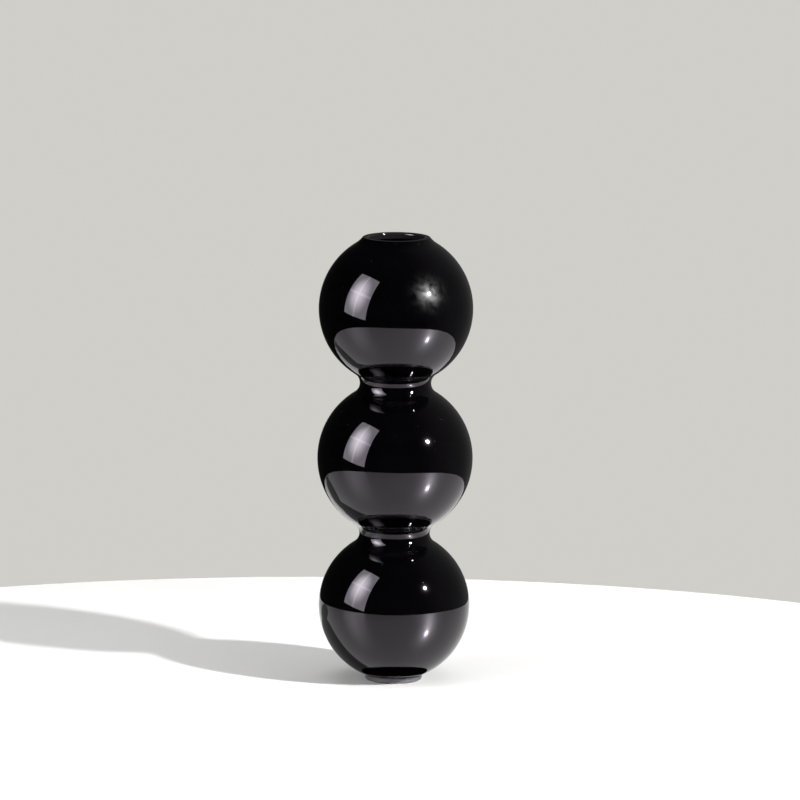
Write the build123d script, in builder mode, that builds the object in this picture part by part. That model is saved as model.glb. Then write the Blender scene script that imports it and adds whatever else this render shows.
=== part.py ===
from build123d import *
import os
from math import acos, atan2, cos, degrees, radians, sin, sqrt

# Bud vase of three blown glass bubbles, one above the other, with drawn-in necks between them.
# Millimetres, +Z up. The origin is the centre of the foot, on the surface that the vase stands on.
# Every piece is turned about Z, so each profile is drawn with its radius along X and its height along Z.

# Bubbles
wall = 2.5
lower_bubble_diameter = 68.8
middle_bubble_diameter = 70.6
upper_bubble_diameter = 70.0

# Necks: the outside diameter at the waist, and the hollow curve that runs into both bubbles
lower_neck_diameter = 32.0
upper_neck_diameter = 32.4
neck_curve = 5.4

# Foot ring, and the thick base disc that stands on it
foot_diameter = 26.0
foot_height = 2.4
foot_land = 4.2
foot_edge_round = 0.9
base_thickness = 4.5
punt_depth = 0.8

# Lip: it stands a little proud of the upper bubble, at the end of a hollow curve
mouth_diameter = 24.8
lip_wall = 2.8
lip_stand = 1.2
lip_curve = 12.0
rim_round = 0.9
throat_round = 0.8

lower_radius = lower_bubble_diameter / 2
middle_radius = middle_bubble_diameter / 2
upper_radius = upper_bubble_diameter / 2
lower_waist_radius = lower_neck_diameter / 2
upper_waist_radius = upper_neck_diameter / 2
foot_radius = foot_diameter / 2
foot_inner_radius = foot_radius - foot_land
mouth_radius = mouth_diameter / 2
lip_radius = mouth_radius + lip_wall


def waist_rise(bubble_radius, waist_radius):
    """Height from a bubble's centre to a waist whose hollow curve touches that bubble."""
    return sqrt((bubble_radius + neck_curve) ** 2 - (waist_radius + neck_curve) ** 2)


def seam_angle(bubble_radius, waist_radius):
    """Angle from a bubble's equator to the seam where it runs into the neck's hollow curve."""
    return degrees(atan2(waist_rise(bubble_radius, waist_radius), waist_radius + neck_curve))


# Heights of the bubbles' centres and of the waists, from the foot up
lower_centre = foot_height + sqrt(lower_radius**2 - foot_radius**2)
lower_waist = lower_centre + waist_rise(lower_radius, lower_waist_radius)
middle_centre = lower_waist + waist_rise(middle_radius, lower_waist_radius)
upper_waist = middle_centre + waist_rise(middle_radius, upper_waist_radius)
upper_centre = upper_waist + waist_rise(upper_radius, upper_waist_radius)

# Seams at the necks, each as an angle from its own bubble's equator
lower_bubble_seam = seam_angle(lower_radius, lower_waist_radius)
middle_bubble_low_seam = seam_angle(middle_radius, lower_waist_radius)
middle_bubble_high_seam = seam_angle(middle_radius, upper_waist_radius)
upper_bubble_seam = seam_angle(upper_radius, upper_waist_radius)


def bubble_shell(radius, centre, low_seam, high_seam):
    """A bubble open at both ends, cut square to the glass at two angles from its equator."""
    turn = high_seam - low_seam
    with BuildPart() as bubble:
        with BuildSketch(Plane.XZ):
            with BuildLine():
                outside = CenterArc((0, centre), radius, low_seam, turn)
                inside = CenterArc((0, centre), radius - wall, low_seam, turn)
                Line(outside @ 0, inside @ 0)
                Line(outside @ 1, inside @ 1)
            make_face()
        revolve(axis=Axis.Z)
    return bubble


def neck_collar(waist_radius, waist_height, seam_below, seam_above):
    """A collar from seam to seam, with the glass of both bubbles drawn round one hollow curve."""
    curve_centre = (waist_radius + neck_curve, waist_height)
    turn = seam_below + seam_above
    with BuildPart() as collar:
        with BuildSketch(Plane.XZ):
            with BuildLine():
                outside = CenterArc(curve_centre, neck_curve, 180 - seam_above, turn)
                inside = CenterArc(curve_centre, neck_curve + wall, 180 - seam_above, turn)
                Line(outside @ 0, inside @ 0)
                Line(outside @ 1, inside @ 1)
            make_face()
        revolve(axis=Axis.Z)
    return collar


# Foot: a ring with rounded lower edges, so that the vase stands on a narrow flat land
with BuildPart() as foot_ring:
    with BuildSketch(Plane.XZ) as foot_profile:
        with Locations((foot_inner_radius, 0)):
            Rectangle(foot_land, foot_height, align=(Align.MIN, Align.MIN))
        fillet(foot_profile.vertices().group_by(Axis.Y)[0], foot_edge_round)
    revolve(axis=Axis.Z)

# Base disc: the thick round of glass that closes the lower bubble. It is flat on top, flattened where it
# sits on the foot, and inside the foot ring it is pushed up into a shallow dome, called the punt.
lower_inner_radius = lower_radius - wall
floor_height = foot_height + base_thickness
floor_radius = sqrt(lower_inner_radius**2 - (lower_centre - floor_height) ** 2)
floor_seam = degrees(atan2(floor_height - lower_centre, floor_radius))
seat_angle = degrees(atan2(foot_height - lower_centre, foot_radius))
punt_radius = (foot_inner_radius**2 + punt_depth**2) / (2 * punt_depth)
punt_centre = (0, foot_height + punt_depth - punt_radius)
punt_turn = degrees(atan2(foot_inner_radius, punt_radius - punt_depth))
with BuildPart() as base_disc:
    with BuildSketch(Plane.XZ):
        with BuildLine():
            side = CenterArc((0, lower_centre), lower_radius, seat_angle, floor_seam - seat_angle)
            punt = CenterArc(punt_centre, punt_radius, 90 - punt_turn, punt_turn)
            Line(side @ 0, punt @ 0)
            Polyline(punt @ 1, (0, floor_height), (floor_radius, floor_height), side @ 1)
        make_face()
    revolve(axis=Axis.Z)

lower_bubble = bubble_shell(lower_radius, lower_centre, floor_seam, lower_bubble_seam)
lower_neck = neck_collar(lower_waist_radius, lower_waist, lower_bubble_seam, middle_bubble_low_seam)
middle_bubble = bubble_shell(
    middle_radius, middle_centre, -middle_bubble_low_seam, middle_bubble_high_seam
)
upper_neck = neck_collar(upper_waist_radius, upper_waist, middle_bubble_high_seam, upper_bubble_seam)

# The rim's outer corner lies lip_stand outside the upper bubble's round. The lip's hollow curve touches
# that bubble and ends at this corner, which gives the middle of the curve and the seam below the lip.
rim_reach = upper_radius + lip_stand
rim_rise = sqrt(rim_reach**2 - lip_radius**2)
rim_height = upper_centre + rim_rise
curve_reach = upper_radius + lip_curve
curve_turn = acos((curve_reach**2 + rim_reach**2 - lip_curve**2) / (2 * curve_reach * rim_reach))
lip_seam = degrees(atan2(rim_rise, lip_radius) - curve_turn)
curve_radius = curve_reach * cos(radians(lip_seam))
curve_height = upper_centre + curve_reach * sin(radians(lip_seam))
curve_start = 180 + degrees(atan2(curve_height - rim_height, curve_radius - lip_radius))

upper_bubble = bubble_shell(upper_radius, upper_centre, -upper_bubble_seam, lip_seam)

# Lip: hollow outside, a short straight throat inside, and a rim rounded in the flame
upper_inner_radius = upper_radius - wall
throat_rise = sqrt(upper_inner_radius**2 - mouth_radius**2)
throat_angle = degrees(atan2(throat_rise, mouth_radius))
throat_foot = (mouth_radius, upper_centre + throat_rise)
with BuildPart() as mouth_lip:
    with BuildSketch(Plane.XZ) as lip_profile:
        with BuildLine():
            hollow = CenterArc(
                (curve_radius, curve_height), lip_curve, curve_start, 180 + lip_seam - curve_start
            )
            under = CenterArc((0, upper_centre), upper_inner_radius, lip_seam, throat_angle - lip_seam)
            Line(hollow @ 1, under @ 0)
            Polyline(under @ 1, (mouth_radius, rim_height), hollow @ 0)
        make_face()
        fillet(lip_profile.vertices().sort_by_distance(throat_foot)[0], throat_round)
        fillet(lip_profile.vertices().group_by(Axis.Y)[-1], min(rim_round, 0.45 * lip_wall))
    revolve(axis=Axis.Z)

pieces = {
    "foot_ring": foot_ring,
    "base_disc": base_disc,
    "lower_bubble": lower_bubble,
    "lower_neck": lower_neck,
    "middle_bubble": middle_bubble,
    "upper_neck": upper_neck,
    "upper_bubble": upper_bubble,
    "mouth_lip": mouth_lip,
}
os.makedirs("parts", exist_ok=True)
for name, piece in pieces.items():
    piece.part.label = name
    export_step(piece.part, f"parts/{name}.step")

print(f"overall height {rim_height:.2f} mm, widest {middle_bubble_diameter:.2f} mm")
print(f"bubble centres {lower_centre:.2f}, {middle_centre:.2f} and {upper_centre:.2f} mm up")
print(f"waists {lower_waist:.2f} and {upper_waist:.2f} mm up")
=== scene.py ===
from math import acos, atan2, ceil, cos, degrees, hypot, pi, radians, sin, sqrt

import bpy
from mathutils import Matrix, Vector


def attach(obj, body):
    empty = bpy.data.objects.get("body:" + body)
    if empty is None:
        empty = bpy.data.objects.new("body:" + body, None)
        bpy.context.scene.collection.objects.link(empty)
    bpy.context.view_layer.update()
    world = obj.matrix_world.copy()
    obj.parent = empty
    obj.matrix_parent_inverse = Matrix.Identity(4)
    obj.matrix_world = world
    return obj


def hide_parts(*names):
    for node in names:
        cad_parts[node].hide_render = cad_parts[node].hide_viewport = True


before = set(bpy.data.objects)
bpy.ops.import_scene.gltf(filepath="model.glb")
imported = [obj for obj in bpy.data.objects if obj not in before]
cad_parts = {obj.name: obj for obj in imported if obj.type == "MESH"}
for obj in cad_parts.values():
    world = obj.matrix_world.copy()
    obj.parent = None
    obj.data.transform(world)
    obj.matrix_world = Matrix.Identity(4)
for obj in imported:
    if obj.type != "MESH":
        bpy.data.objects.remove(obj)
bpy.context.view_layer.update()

# Three-bubble bud vase in black glass. Metres, +Z up, in the frame of the solids.
# Every piece of glass is turned about Z from a profile of arcs and lines, with exact normals,
# so that reflections run over the fused seams without a break.

# Sizes of the glass, as the solids have them
wall = 0.0025
lower_radius = 0.0688 / 2
middle_radius = 0.0706 / 2
upper_radius = 0.0700 / 2
lower_waist_radius = 0.0320 / 2
upper_waist_radius = 0.0324 / 2
neck_curve = 0.0054
foot_radius = 0.0260 / 2
foot_height = 0.0024
foot_land = 0.0042
foot_edge_round = 0.0009
base_thickness = 0.0045
punt_depth = 0.0008
mouth_radius = 0.0248 / 2
lip_wall = 0.0028
lip_stand = 0.0012
lip_curve = 0.0120
rim_round = 0.0009
throat_round = 0.0008

# Fineness of the turned meshes: steps round the axis, degrees per step along a bubble and along an arc
# below the small radius, the fewest steps of an arc, and how close two points are to be one
around = 192
bubble_step = 2.0
small_step = 4.5
small_radius = 0.020
fewest_steps = 3
same_place = 1e-7


def waist_rise(bubble_radius, waist_radius):
    """Height from a bubble's centre to a waist whose hollow curve touches that bubble."""
    return sqrt((bubble_radius + neck_curve) ** 2 - (waist_radius + neck_curve) ** 2)


def seam_angle(bubble_radius, waist_radius):
    """Degrees from a bubble's equator to the seam where it runs into the neck."""
    return degrees(atan2(waist_rise(bubble_radius, waist_radius), waist_radius + neck_curve))


# Heights of the bubbles' centres and of the waists, from the foot up
lower_centre = foot_height + sqrt(lower_radius**2 - foot_radius**2)
lower_waist = lower_centre + waist_rise(lower_radius, lower_waist_radius)
middle_centre = lower_waist + waist_rise(middle_radius, lower_waist_radius)
upper_waist = middle_centre + waist_rise(middle_radius, upper_waist_radius)
upper_centre = upper_waist + waist_rise(upper_radius, upper_waist_radius)

# Seams at the necks, in degrees from each bubble's equator
lower_seam = seam_angle(lower_radius, lower_waist_radius)
middle_low_seam = seam_angle(middle_radius, lower_waist_radius)
middle_high_seam = seam_angle(middle_radius, upper_waist_radius)
upper_seam = seam_angle(upper_radius, upper_waist_radius)


# Profiles: a profile is a list of stretches, and a stretch is a list of (point, normal) pairs.
# A point is (radius, height). The path goes round the glass anticlockwise, so the air is on its right.
def on_circle(centre, radius, angle):
    return (centre[0] + radius * cos(radians(angle)), centre[1] + radius * sin(radians(angle)))


def bearing(start, end):
    """Degrees of the direction from one point to another."""
    return degrees(atan2(end[1] - start[1], end[0] - start[0]))


def arc(centre, radius, start, turn):
    """A stretch from an angle through a turn. Its normals point outwards if it turns anticlockwise."""
    step = small_step if radius < small_radius else bubble_step
    count = max(fewest_steps, ceil(abs(turn) / step))
    side = 1 if turn > 0 else -1
    stretch = []
    for i in range(count + 1):
        angle = start + turn * i / count
        point = on_circle(centre, radius, angle)
        stretch.append((point, (side * cos(radians(angle)), side * sin(radians(angle)))))
    return stretch


def line(start, end):
    """A straight stretch, with its normals to the right of its direction."""
    length = hypot(end[0] - start[0], end[1] - start[1])
    normal = ((end[1] - start[1]) / length, (start[0] - end[0]) / length)
    return [(start, normal), (end, normal)]


def bubble_profile(radius, height, low_seam, high_seam):
    """A round shell, cut square to the glass at both seams."""
    centre = (0, height)
    turn = high_seam - low_seam
    inner = radius - wall
    return [
        arc(centre, radius, low_seam, turn),
        line(on_circle(centre, radius, high_seam), on_circle(centre, inner, high_seam)),
        arc(centre, inner, high_seam, -turn),
        line(on_circle(centre, inner, low_seam), on_circle(centre, radius, low_seam)),
    ]


def neck_profile(waist_radius, height, seam_below, seam_above):
    """A collar from seam to seam, round one hollow curve."""
    centre = (waist_radius + neck_curve, height)
    turn = seam_below + seam_above
    low, high = 180 + seam_below, 180 - seam_above
    inner = neck_curve + wall
    return [
        arc(centre, neck_curve, low, -turn),
        line(on_circle(centre, neck_curve, high), on_circle(centre, inner, high)),
        arc(centre, inner, high, turn),
        line(on_circle(centre, inner, low), on_circle(centre, neck_curve, low)),
    ]


def foot_profile():
    inner = foot_radius - foot_land
    low_inner = (inner + foot_edge_round, foot_edge_round)
    low_outer = (foot_radius - foot_edge_round, foot_edge_round)
    return [
        arc(low_inner, foot_edge_round, 180, 90),
        line((low_inner[0], 0), (low_outer[0], 0)),
        arc(low_outer, foot_edge_round, 270, 90),
        line((foot_radius, foot_edge_round), (foot_radius, foot_height)),
        line((foot_radius, foot_height), (inner, foot_height)),
        line((inner, foot_height), (inner, foot_edge_round)),
    ]


# The thick base is flat on top and has a shallow dome, the punt, inside the foot ring
floor_height = foot_height + base_thickness
floor_radius = sqrt((lower_radius - wall) ** 2 - (lower_centre - floor_height) ** 2)
floor_seam = bearing((0, lower_centre), (floor_radius, floor_height))


def base_profile():
    centre = (0, lower_centre)
    seat = (foot_radius, foot_height)
    seat_angle = bearing(centre, seat)
    punt_edge = (foot_radius - foot_land, foot_height)
    punt_radius = (punt_edge[0] ** 2 + punt_depth**2) / (2 * punt_depth)
    punt_centre = (0, foot_height + punt_depth - punt_radius)
    punt_turn = 90 - bearing(punt_centre, punt_edge)
    return [
        arc(punt_centre, punt_radius, 90, -punt_turn),
        line(punt_edge, seat),
        arc(centre, lower_radius, seat_angle, floor_seam - seat_angle),
        line(on_circle(centre, lower_radius, floor_seam), (floor_radius, floor_height)),
        line((floor_radius, floor_height), (0, floor_height)),
    ]


# The lip's hollow curve touches the upper bubble and ends at the rim's outer corner
lip_radius = mouth_radius + lip_wall
rim_reach = upper_radius + lip_stand
rim_height = upper_centre + sqrt(rim_reach**2 - lip_radius**2)
curve_reach = upper_radius + lip_curve
curve_turn = acos((curve_reach**2 + rim_reach**2 - lip_curve**2) / (2 * curve_reach * rim_reach))
lip_seam = bearing((0, upper_centre), (lip_radius, rim_height)) - degrees(curve_turn)


def lip_profile():
    centre = (0, upper_centre)
    inner = upper_radius - wall
    hollow = on_circle(centre, curve_reach, lip_seam)
    rim_level = rim_height - rim_round
    rim_across = sqrt((lip_curve + rim_round) ** 2 - (rim_level - hollow[1]) ** 2)
    outer_rim = (hollow[0] - rim_across, rim_level)
    inner_rim = (mouth_radius + rim_round, rim_level)
    throat_across = mouth_radius + throat_round
    throat_foot = (throat_across, upper_centre + sqrt((inner + throat_round) ** 2 - throat_across**2))
    seam_side = 180 + lip_seam
    rim_side = bearing(hollow, outer_rim)
    throat_angle = bearing(centre, throat_foot)
    rim_start = bearing(outer_rim, hollow)
    return [
        arc(hollow, lip_curve, seam_side, rim_side % 360 - seam_side),
        arc(outer_rim, rim_round, rim_start, 90 - rim_start),
        line((outer_rim[0], rim_height), (inner_rim[0], rim_height)),
        arc(inner_rim, rim_round, 90, 90),
        line((mouth_radius, rim_level), (mouth_radius, throat_foot[1])),
        arc(throat_foot, throat_round, 180, throat_angle),
        arc(centre, inner, throat_angle, lip_seam - throat_angle),
        line(on_circle(centre, inner, lip_seam), on_circle(centre, upper_radius, lip_seam)),
    ]


def turned_mesh(name, profile):
    """A mesh turned about Z. A profile that doesn't end where it starts has both ends on the axis."""
    rings = []
    strips = []
    for stretch in profile:
        for (start, start_normal), (_, end_normal) in zip(stretch, stretch[1:]):
            strips.append((len(rings), len(rings) + 1, start_normal, end_normal))
            rings.append(start)
    end = profile[-1][-1][0]
    if hypot(end[0] - rings[0][0], end[1] - rings[0][1]) < same_place:
        low, _, start_normal, end_normal = strips[-1]
        strips[-1] = (low, 0, start_normal, end_normal)
    else:
        rings.append(end)

    vertices = []
    places = []
    for radius, height in rings:
        turns = 1 if radius < same_place else around
        places.append([len(vertices) + k % turns for k in range(around + 1)])
        places[-1][around] = places[-1][0]
        for k in range(turns):
            angle = 2 * pi * k / around
            vertices.append((radius * cos(angle), radius * sin(angle), height))

    faces = []
    normals = []
    for low, high, low_normal, high_normal in strips:
        for k in range(around):
            corners = [
                (places[low][k], low_normal, k),
                (places[low][k + 1], low_normal, k + 1),
                (places[high][k + 1], high_normal, k + 1),
                (places[high][k], high_normal, k),
            ]
            if places[low][k] == places[low][k + 1]:
                del corners[1]
            elif places[high][k] == places[high][k + 1]:
                del corners[2]
            faces.append([corner[0] for corner in corners])
            for _, (outward, upward), step in corners:
                angle = 2 * pi * step / around
                normals.append((outward * cos(angle), outward * sin(angle), upward))

    mesh = bpy.data.meshes.new(name)
    mesh.from_pydata(vertices, [], faces)
    mesh.shade_smooth()
    mesh.normals_split_custom_set(normals)
    return mesh


def add_object(name, data):
    made = bpy.data.objects.new(name, data)
    bpy.context.scene.collection.objects.link(made)
    return made


# Shader nodes
def set_inputs(tree, node, inputs):
    """Each input gets a plain value, or a link from the output socket that is given for it."""
    for name, value in inputs.items():
        if isinstance(value, bpy.types.NodeSocket):
            tree.links.new(value, node.inputs[name])
        else:
            node.inputs[name].default_value = value


def add_node(tree, kind, inputs=None, **settings):
    made = tree.nodes.new(kind)
    for name, value in settings.items():
        setattr(made, name, value)
    set_inputs(tree, made, inputs or {})
    return made


def maths(tree, operation, *values):
    return add_node(tree, "ShaderNodeMath", dict(enumerate(values)), operation=operation).outputs[0]


def vector_maths(tree, operation, *values):
    """A number for a dot product, a distance or a length, and a vector for any other operation."""
    made = add_node(tree, "ShaderNodeVectorMath", dict(enumerate(values)), operation=operation)
    gives_number = operation in ("DOT_PRODUCT", "DISTANCE", "LENGTH")
    return made.outputs["Value" if gives_number else "Vector"]


def ramp(tree, value, low, high, to_low=0.0, to_high=1.0):
    """A smooth step from to_low to to_high as value goes from low to high."""
    inputs = {0: value, 1: low, 2: high, 3: to_low, 4: to_high}
    made = add_node(tree, "ShaderNodeMapRange", inputs, interpolation_type="SMOOTHSTEP")
    return made.outputs[0]


def noise(tree, place, scale, detail=2.0, distortion=0.0):
    inputs = {"Vector": place, "Scale": scale, "Detail": detail, "Distortion": distortion}
    return add_node(tree, "ShaderNodeTexNoise", inputs).outputs[0]


def mixed_colour(tree, share, first, second):
    """The first colour where share is zero, and the second where it is one."""
    made = add_node(tree, "ShaderNodeMix", data_type="RGBA")
    values = {"Factor": share, "A": first, "B": second}
    for index, socket in enumerate(made.inputs):
        if socket.enabled and socket.name in values:
            set_inputs(tree, made, {index: values[socket.name]})
    return next(socket for socket in made.outputs if socket.enabled)


def bumped(tree, height, depth, strength=1.0, normal=None):
    """A normal that follows height, on top of another normal where one is given."""
    inputs = {"Height": height, "Distance": depth, "Strength": strength}
    if normal is not None:
        inputs["Normal"] = normal
    return add_node(tree, "ShaderNodeBump", inputs).outputs[0]


def new_material(name):
    material = bpy.data.materials.new(name)
    material.use_nodes = True
    tree = material.node_tree
    tree.nodes.clear()
    shader = add_node(tree, "ShaderNodeBsdfPrincipled")
    add_node(tree, "ShaderNodeOutputMaterial", {"Surface": shader.outputs[0]})
    return material, tree, shader


# Black glass: its colours
dark_melt = (0.0002, 0.0002, 0.0003, 1)
pale_melt = (0.0009, 0.0007, 0.0010, 1)
# Painted light: the faces towards the axis are paler, standing in for the lit inside wall that shows
# through the mouth
painted_inside_light = (0.0090, 0.0078, 0.0096, 1)
satin_colour = (0.090, 0.087, 0.091, 1)
scuff_colour = (0.05, 0.048, 0.05, 1)
scuff_cover = 0.5
dust_colour = (0.16, 0.15, 0.145, 1)
dust_cover = 0.5
glass_ior = 1.38
reflection_tint = (0.96, 0.87, 1.0, 1)

# Its roughness where it is polished, and what each mark adds
polished_roughness = 0.030
smear_roughness = 0.035
grain_roughness = 0.012
satin_roughness = 0.36
scuff_roughness = 0.20
dust_roughness = 0.40

# Its relief in metres, and its cords, which are drawn out sideways: waves per metre along each axis
swell_depth = 0.00008
cord_depth = 0.000006
scuff_depth = 0.00002
scuff_strength = 0.4
cord_waves = (14, 14, 150)

# Its marks: dust, the worn land of the foot, and a hazy spot, touched by hand, on the upper bubble
dust_cells = 380.0
dust_threshold = 0.82
land_low, land_high = 0.0001, 0.0010
haze_place = (0.0150, -0.0294, 0.1827)
haze_core = 0.001
haze_radius = 0.014
haze_weight = 0.10
haze_roughness = 0.32


def inside_mask(tree, coords, facing):
    """One where the glass faces the axis, and zero where it faces out."""
    level = vector_maths(tree, "MULTIPLY", coords, (1, 1, 0))
    outward = vector_maths(tree, "NORMALIZE", level)
    facing_out = vector_maths(tree, "DOT_PRODUCT", facing, outward)
    return ramp(tree, facing_out, -0.25, -0.05, 1.0, 0.0)


def dust_mask(tree, coords, facing):
    """A few fine grains, on what faces up."""
    cells = add_node(tree, "ShaderNodeTexVoronoi", {"Vector": coords, "Scale": dust_cells})
    picked = add_node(tree, "ShaderNodeSeparateColor", {0: cells.outputs["Color"]}).outputs[0]
    chosen = maths(tree, "GREATER_THAN", picked, dust_threshold)
    near = ramp(tree, cells.outputs["Distance"], 0.03, 0.07, 1.0, 0.0)
    facing_up = add_node(tree, "ShaderNodeSeparateXYZ", {0: facing}).outputs["Z"]
    upward = ramp(tree, facing_up, 0.1, 0.7)
    return maths(tree, "MULTIPLY", maths(tree, "MULTIPLY", near, chosen), upward)


def haze_mask(tree, coords):
    """The weight of a thin film that puts a soft halo round the lamp."""
    away = vector_maths(tree, "DISTANCE", coords, haze_place)
    spot = ramp(tree, away, haze_core, haze_radius, haze_weight, 0.0)
    patchy = ramp(tree, noise(tree, coords, scale=240.0, detail=3.0, distortion=0.5), 0.25, 0.75)
    return maths(tree, "MULTIPLY", spot, patchy)


def black_glass():
    """Opaque black glass: cords in the melt, a slight swell, smears, dust, haze, a ground foot, and
    painted light that makes the faces towards the axis paler.
    """
    material, tree, shader = new_material("black_glass")
    coords = add_node(tree, "ShaderNodeTexCoord").outputs["Object"]
    height = add_node(tree, "ShaderNodeSeparateXYZ", {0: coords}).outputs["Z"]
    facing = add_node(tree, "ShaderNodeNewGeometry").outputs["Normal"]
    inside = inside_mask(tree, coords, facing)
    dust = dust_mask(tree, coords, facing)

    # The melt is drawn out along the turning of the piece, and the polish has smears and a fine grain
    drawn_out = add_node(tree, "ShaderNodeMapping", {"Vector": coords, "Scale": cord_waves}).outputs[0]
    cords = noise(tree, drawn_out, scale=1.0, detail=3.0, distortion=0.4)
    swell = noise(tree, coords, scale=30.0, detail=1.0)
    smears = ramp(tree, noise(tree, coords, scale=48.0, detail=5.0, distortion=0.9), 0.52, 0.74)
    grain = noise(tree, coords, scale=1400.0)

    # The foot is satin all over, with scuffs on the land that slides on the table
    ground = ramp(tree, height, 0.92 * foot_height, 1.02 * foot_height, 1.0, 0.0)
    on_land = ramp(tree, height, land_low, land_high, 1.0, 0.0)
    rubbed = ramp(tree, noise(tree, coords, scale=420.0, detail=4.0), 0.30, 0.62)
    wear = maths(tree, "MULTIPLY", on_land, rubbed)

    colour = mixed_colour(tree, cords, dark_melt, pale_melt)
    colour = mixed_colour(tree, maths(tree, "MULTIPLY", dust, dust_cover), colour, dust_colour)
    # Painted light on the faces towards the axis, for the lit inside wall seen through the mouth
    colour = mixed_colour(tree, inside, colour, painted_inside_light)
    colour = mixed_colour(tree, ground, colour, satin_colour)
    colour = mixed_colour(tree, maths(tree, "MULTIPLY", wear, scuff_cover), colour, scuff_colour)

    roughness = polished_roughness
    marks = [
        (smears, smear_roughness),
        (grain, grain_roughness),
        (ground, satin_roughness),
        (wear, scuff_roughness),
        (dust, dust_roughness),
    ]
    for mark, added in marks:
        roughness = maths(tree, "MULTIPLY_ADD", mark, added, roughness)

    normal = bumped(tree, swell, swell_depth)
    normal = bumped(tree, cords, cord_depth, normal=normal)
    normal = bumped(tree, wear, scuff_depth, scuff_strength, normal)
    inputs = {
        "Base Color": colour,
        "Roughness": roughness,
        "Normal": normal,
        "IOR": glass_ior,
        "Specular Tint": reflection_tint,
        "Coat Weight": haze_mask(tree, coords),
        "Coat Roughness": haze_roughness,
    }
    set_inputs(tree, shader, inputs)
    return material


def pale_lacquer():
    """The table: off-white lacquer, with a soft gloss that is a little uneven."""
    material, tree, shader = new_material("pale_lacquer")
    coords = add_node(tree, "ShaderNodeTexCoord").outputs["Object"]
    cloud = noise(tree, coords, scale=9.0, detail=4.0)
    inputs = {
        "Base Color": mixed_colour(tree, cloud, (0.86, 0.855, 0.85, 1), (0.89, 0.885, 0.88, 1)),
        "Roughness": ramp(tree, cloud, 0.3, 0.7, 0.42, 0.46),
        "IOR": 1.5,
        "Specular IOR Level": 0.35,
        "Coat Weight": 0.35,
        "Coat Roughness": 0.17,
    }
    set_inputs(tree, shader, inputs)
    return material


# The vase: one turned piece of glass for each solid
glass = black_glass()
profiles = {
    "foot_ring": foot_profile(),
    "base_disc": base_profile(),
    "lower_bubble": bubble_profile(lower_radius, lower_centre, floor_seam, lower_seam),
    "lower_neck": neck_profile(lower_waist_radius, lower_waist, lower_seam, middle_low_seam),
    "middle_bubble": bubble_profile(middle_radius, middle_centre, -middle_low_seam, middle_high_seam),
    "upper_neck": neck_profile(upper_waist_radius, upper_waist, middle_high_seam, upper_seam),
    "upper_bubble": bubble_profile(upper_radius, upper_centre, -upper_seam, lip_seam),
    "mouth_lip": lip_profile(),
}
for node, profile in profiles.items():
    piece = add_object(f"{node}_glass", turned_mesh(f"{node}_glass", profile))
    piece.data.materials.append(glass)
    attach(piece, "root")
    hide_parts(node)

# Floor: a pale oval table top with a rounded edge, whose near edge shows in every bubble
table_half_width = 0.415
table_near = -0.49
table_far = 0.245
table_aside = -0.025
table_thickness = 0.028
table_edge_round = 0.008
table_middle = (table_near + table_far) / 2
table_half_depth = (table_far - table_near) / 2


def table_profile():
    """A round top as wide as the oval, which is scaled in depth afterwards."""
    reach = table_half_width
    top_edge = (reach - table_edge_round, -table_edge_round)
    low_edge = (reach - table_edge_round, table_edge_round - table_thickness)
    return [
        line((0, -table_thickness), (low_edge[0], -table_thickness)),
        arc(low_edge, table_edge_round, 270, 90),
        line((reach, low_edge[1]), (reach, top_edge[1])),
        arc(top_edge, table_edge_round, 0, 90),
        line((top_edge[0], 0), (0, 0)),
    ]


table = add_object("table", turned_mesh("table", table_profile()))
table.location = (table_aside, table_middle, 0)
table.scale = (1, table_half_depth / table_half_width, 1)
table.data.materials.append(pale_lacquer())

# Light: a tall softbox at the front left, a small hard lamp at the front right and a fill from above.
# A glint stands a little ahead of its light, because a ray that meets two lights at one place sees one.
lamp_place = (1.042, -0.712, 0.761)
lamp_across = 0.073
fill_place = (0, 0, 1.6)
fill_across = 1.5
glint_lead = 0.003


def area_light(name, place, target, size, power, shape="RECTANGLE", roll=0.0):
    light = bpy.data.lights.new(name, "AREA")
    light.shape = shape
    light.size, light.size_y = size
    light.energy = power
    made = add_object(name, light)
    made.visible_camera = False
    turned = (Vector(target) - Vector(place)).to_track_quat("-Z", "Y").to_matrix().to_4x4()
    made.matrix_world = Matrix.Translation(place) @ turned @ Matrix.Rotation(roll, 4, "Z")
    return made


def light_and_glint(name, power, glint_power, place, target, **settings):
    """A light as two: one only lights what is dull, and the glint only shows in what is glossy."""
    light = area_light(name, place, target, power=power, **settings)
    light.visible_glossy = False
    ahead = Vector(place) + glint_lead * (Vector(target) - Vector(place)).normalized()
    glint = area_light(f"{name}_glint", ahead, target, power=glint_power, **settings)
    glint.visible_diffuse = False
    return light, glint


softbox, softbox_glint = light_and_glint(
    "softbox",
    power=20.0,
    glint_power=49.0,
    place=(-0.784, -0.422, 0.558),
    target=(-0.057, 0.245, 0.395),
    size=(0.686, 1.016),
    roll=-0.169,
)
light_and_glint(
    "lamp",
    power=40.0,
    glint_power=200.0,
    place=lamp_place,
    target=(0, 0, middle_centre),
    size=(lamp_across, lamp_across),
    shape="DISK",
)
fill = area_light("overhead_fill", fill_place, (0, 0, 0), (fill_across, fill_across), power=15.5)
fill.visible_glossy = False

# The softbox's front, as shares of its width and height: hottest in the middle, dimmer towards the edge,
# with two faint bright bars that part it into four panes
front_half = 0.5
hot_core = 0.04
edge_glow = 0.24
upright_bar = 0.06
level_bar = 0.04
bar_glow = 0.22
bar_fade = 0.7


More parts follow.
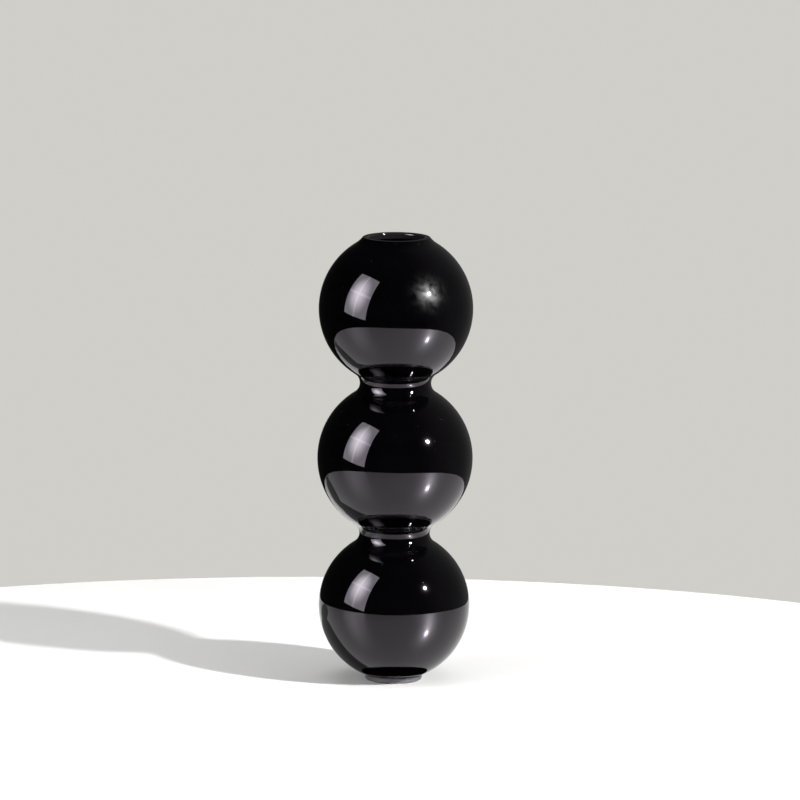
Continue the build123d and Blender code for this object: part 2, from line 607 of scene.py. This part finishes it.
def glow_from_the_middle(light):
    light.use_nodes = True
    tree = light.node_tree
    tree.nodes.clear()
    front = add_node(tree, "ShaderNodeNewGeometry").outputs["Parametric"]
    from_middle = vector_maths(tree, "SUBTRACT", front, (front_half, front_half, 0.0))
    away = vector_maths(tree, "LENGTH", from_middle)
    glow = ramp(tree, away, hot_core, front_half, 1.0, edge_glow)
    across = add_node(tree, "ShaderNodeSeparateXYZ", {0: from_middle}).outputs
    upright = ramp(tree, maths(tree, "ABSOLUTE", across["X"]), 0.0, upright_bar, bar_glow, 0.0)
    level = ramp(tree, maths(tree, "ABSOLUTE", across["Y"]), 0.0, level_bar, bar_glow, 0.0)
    fade = ramp(tree, away, 0.0, front_half, 1.0, bar_fade)
    bars = maths(tree, "MULTIPLY", maths(tree, "MAXIMUM", upright, level), fade)
    shader = add_node(tree, "ShaderNodeEmission", {"Strength": maths(tree, "ADD", glow, bars)})
    add_node(tree, "ShaderNodeOutputLight", {"Surface": shader.outputs[0]})


glow_from_the_middle(softbox.data)
glow_from_the_middle(softbox_glint.data)

# Dark patches on the table, which show only in the glass: the shade close in front of the foot, and the
# lamp's shadow of the vase, which is deeper in the bubbles than on the table itself
shade_lift = 0.0004
shade_radius = 0.0235
shade_start, shade_end = -170, -2
shade_steps = 24
shade_tone = 0.002
shadow_lift = 0.0002
shadow_begin, shadow_reach = -0.008, 0.30
shadow_steps = 72
shadow_tone = 0.29
foot_clearance = 0.0146
table_margin = 0.97
lamp_away = hypot(lamp_place[0], lamp_place[1])


def dark_patch(name, edges, lift, tone):
    """A dull sheet between two edges, given as pairs of points. It shows from above only."""
    corners = [(x, y, lift) for pair in edges for x, y in pair]
    faces = [(2 * i, 2 * i + 1, 2 * i + 3, 2 * i + 2) for i in range(len(edges) - 1)]
    mesh = bpy.data.meshes.new(name)
    mesh.from_pydata(corners, [], faces)
    material, tree, shader = new_material(name)
    from_below = add_node(tree, "ShaderNodeNewGeometry").outputs["Backfacing"]
    inputs = {
        "Base Color": (tone, tone, tone, 1),
        "Roughness": 1.0,
        "Specular IOR Level": 0.0,
        "Alpha": maths(tree, "SUBTRACT", 1.0, from_below),
    }
    set_inputs(tree, shader, inputs)
    mesh.materials.append(material)
    patch = add_object(name, mesh)
    patch.visible_camera = False
    patch.visible_diffuse = False
    patch.visible_shadow = False


def shade_edges():
    """A stretch of the ring round the foot, with pointed ends."""
    edges = []
    inner = foot_radius + shade_lift
    for i in range(shade_steps + 1):
        angle = shade_start + (shade_end - shade_start) * i / shade_steps
        outer = inner + (shade_radius - inner) * sqrt(max(0, sin(pi * i / shade_steps)))
        edges.append([on_circle((0, 0), inner, angle), on_circle((0, 0), outer, angle)])
    return edges


def shadow_half_width(reach):
    """Half the width of the lamp's shadow at a distance from the axis: an oval for each bubble."""
    bubbles = [
        (lower_radius, lower_centre),
        (middle_radius, middle_centre),
        (upper_radius, upper_centre),
    ]
    widest = 0
    for radius, height in bubbles:
        drop = lamp_place[2] - height
        middle = lamp_away * height / drop
        half_width = radius * (1 + middle / lamp_away)
        half_length = half_width * hypot(lamp_away, drop) / drop
        share = (reach - middle) / half_length
        widest = max(widest, half_width * sqrt(max(0, 1 - share**2)))
    return widest


def held_on_table(x, y):
    """A point on the table stays, and one past its edge is drawn in towards the table's middle."""
    across = x - table_aside
    deep = y - table_middle
    outside = hypot(across / table_half_width, deep / table_half_depth) / table_margin
    share = 1 / max(1, outside)
    return (table_aside + share * across, table_middle + share * deep)


def shadow_edges(side):
    """One half of the lamp's shadow, from the foot outwards: its outer edge, and the axis or the foot."""
    along_x, along_y = -lamp_place[0] / lamp_away, -lamp_place[1] / lamp_away
    edges = []
    for i in range(shadow_steps + 1):
        reach = shadow_begin + (shadow_reach - shadow_begin) * i / shadow_steps
        inner = sqrt(max(0, foot_clearance**2 - reach**2))
        outer = max(inner, shadow_half_width(reach))
        pair = []
        for aside in (side * outer, side * inner):
            x = reach * along_x - aside * along_y
            y = reach * along_y + aside * along_x
            pair.append(held_on_table(x, y))
        edges.append(pair[::side])
    return edges


dark_patch("shade_at_the_foot", shade_edges(), shade_lift, shade_tone)
dark_patch("near_shadow_in_the_glass", shadow_edges(1), shadow_lift, shadow_tone)
dark_patch("far_shadow_in_the_glass", shadow_edges(-1), shadow_lift, shadow_tone)

# Backdrop: plain and pale behind the vase. Reflections see a dark room with a dim wall at the right.
backdrop_tone = (0.63, 0.62, 0.585, 1)
room_tone = (0.012, 0.012, 0.013, 1)
wall_tone = (0.13, 0.13, 0.125, 1)
wall_direction = (0.86, 0.50, 0.05)


def pale_backdrop_in_a_dark_room():
    world = bpy.data.worlds.new("room")
    world.use_nodes = True
    tree = world.node_tree
    tree.nodes.clear()
    direction = add_node(tree, "ShaderNodeTexCoord").outputs["Generated"]
    to_wall = vector_maths(tree, "DOT_PRODUCT", direction, wall_direction)
    room = mixed_colour(tree, ramp(tree, to_wall, 0.1, 0.9), room_tone, wall_tone)
    seen = add_node(tree, "ShaderNodeLightPath").outputs["Is Camera Ray"]
    colour = mixed_colour(tree, seen, room, backdrop_tone)
    shader = add_node(tree, "ShaderNodeBackground", {"Color": colour})
    add_node(tree, "ShaderNodeOutputWorld", {"Surface": shader.outputs[0]})
    bpy.context.scene.world = world


pale_backdrop_in_a_dark_room()
bpy.context.scene.view_settings.view_transform = "Standard"

# Camera: a long lens some three metres away, about ten degrees above level
camera_place = (0.0021, -3.2, 0.679)
camera_pitch = 0.1702
camera_roll = 0.0067
focal_pixels = 7153.5
image_pixels = 800
sensor_width = 36.0
camera_data = bpy.data.cameras.new("camera")
camera_data.sensor_width = sensor_width
camera_data.lens = sensor_width * focal_pixels / image_pixels
camera = add_object("camera", camera_data)
looking_down = Matrix.Rotation(pi / 2 - camera_pitch, 4, "X")
rolled = Matrix.Rotation(camera_roll, 4, "Z")
camera.matrix_world = Matrix.Translation(camera_place) @ looking_down @ rolled
bpy.context.scene.camera = camera
